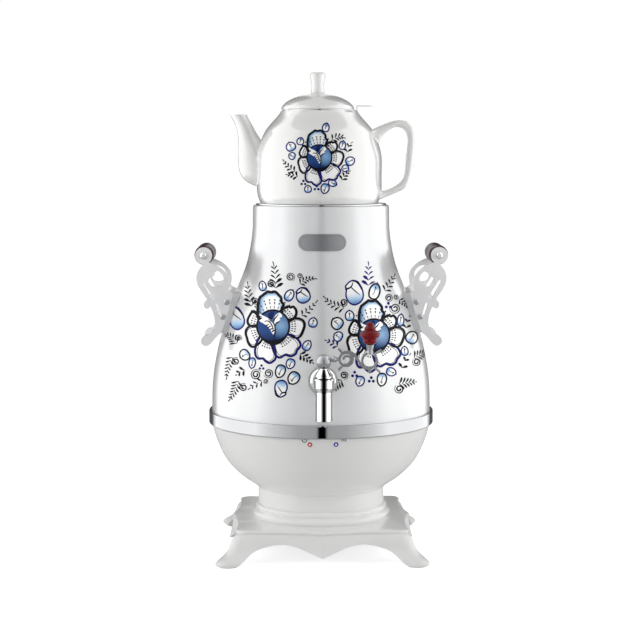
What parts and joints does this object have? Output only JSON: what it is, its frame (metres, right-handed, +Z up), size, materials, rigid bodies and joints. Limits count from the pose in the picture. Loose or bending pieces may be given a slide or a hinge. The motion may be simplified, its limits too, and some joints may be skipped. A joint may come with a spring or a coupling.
{
  "type": "samovar",
  "caption": "Electric samovar on a footed stand: pear-shaped white body, bowl with lamps, turning tap, two side handles, and a teapot with basket and lid on top.",
  "frame": {"origin": "on the body's axis at the level of the floor under the foot pads", "axes": "+Z up, the tap towards -Y, the tap's key and the teapot's handle towards +X"},
  "size_m": [0.249, 0.2691, 0.4736],
  "materials": {
    "white_plastic": "gloss white moulded plastic",
    "white_enamel": "white baked enamel on steel with a blue floral decoration",
    "porcelain": "glazed white porcelain",
    "polished_steel": "polished stainless steel",
    "steel": "stainless steel",
    "chrome": "chromed brass",
    "badge_metal": "satin",
    "bracket_metal": "pale grey enamelled casting",
    "aluminium_plate": "plain",
    "grip_plastic": "dark red-brown gloss",
    "red_plastic": "dark ruby gloss",
    "lamp_red": "red lens",
    "lamp_blue": "blue lens",
    "dark_plastic": "black",
    "board_laminate": "green laminate",
    "seal_rubber": "silicone",
    "pad_rubber": "grey rubber",
    "brass": "plain"
  },
  "bodies": {
    "urn": {"base_stand": "white_plastic", "foot_pads": "pad_rubber", "bottom_cover": "dark_plastic", "bottom_cover_screws": "steel", "base_screws": "steel", "pedestal": "white_plastic", "lower_bowl": "white_plastic", "trim_band": "polished_steel", "tank_gasket": "seal_rubber", "tank_floor": "steel", "tie_rods": "steel", "tie_nuts": "steel", "upper_body": "white_enamel", "name_plate": "badge_metal", "heat_spreader": "aluminium_plate", "boil_heater": "steel", "keep_warm_heater": "steel", "thermostat": "dark_plastic", "dry_boil_cutout": "dark_plastic", "thermal_fuse": "steel", "mounting_plate": "steel", "control_board": "board_laminate", "relay": "dark_plastic", "terminal_block": "white_plastic", "terminal_screws": "brass", "lamp_board": "board_laminate", "lamp_red": "lamp_red", "lamp_blue": "lamp_blue", "power_inlet": "dark_plastic", "inlet_pins": "brass", "switch_frame": "dark_plastic", "tap_gasket": "seal_rubber", "tap_inner_seal": "seal_rubber", "tap_rose": "chrome", "tap_body": "chrome", "tap_nut": "brass", "tap_bonnet": "chrome", "handle_bracket_left_front": "bracket_metal", "handle_bracket_left_rear": "bracket_metal", "handle_saddle_left": "bracket_metal", "handle_screws_left": "steel", "grip_left": "grip_plastic", "grip_rod_left": "steel", "handle_bracket_right_front": "bracket_metal", "handle_bracket_right_rear": "bracket_metal", "handle_saddle_right": "bracket_metal", "handle_screws_right": "steel", "grip_right": "grip_plastic", "grip_rod_right": "steel"},
    "key": {"tap_plug": "brass", "tap_plug_seals": "seal_rubber", "tap_key": "chrome", "key_pin": "steel", "tap_knob": "red_plastic", "knob_stud": "steel"},
    "rocker": {"switch_rocker": "dark_plastic"},
    "cover": {"top_cover": "steel"},
    "teapot": {"teapot_body": "porcelain"},
    "basket": {"infuser_basket": "steel"},
    "lid": {"teapot_lid": "porcelain"}
  },
  "joints": [
    {"name": "tap_key_turn", "type": "hinge", "parent": "urn", "child": "key", "pos_m": [0, -0.147, 0.182], "axis": [0, 0, 1], "range_deg": [-90, 0]},
    {"name": "switch_rock", "type": "hinge", "parent": "urn", "child": "rocker", "pos_m": [0.019, 0.1015, 0.108], "axis": [1, 0, 0], "range_deg": [0, 16]},
    {"name": "cover_lift", "type": "slide", "parent": "urn", "child": "cover", "axis": [0, 0, 1], "range_m": [0, 0.1]},
    {"name": "teapot_lift", "type": "slide", "parent": "cover", "child": "teapot", "axis": [0, 0, 1], "range_m": [0, 0.15]},
    {"name": "basket_lift", "type": "slide", "parent": "teapot", "child": "basket", "axis": [0, 0, 1], "range_m": [0, 0.08]},
    {"name": "lid_lift", "type": "slide", "parent": "basket", "child": "lid", "axis": [0, 0, 1], "range_m": [0, 0.06]}
  ]
}
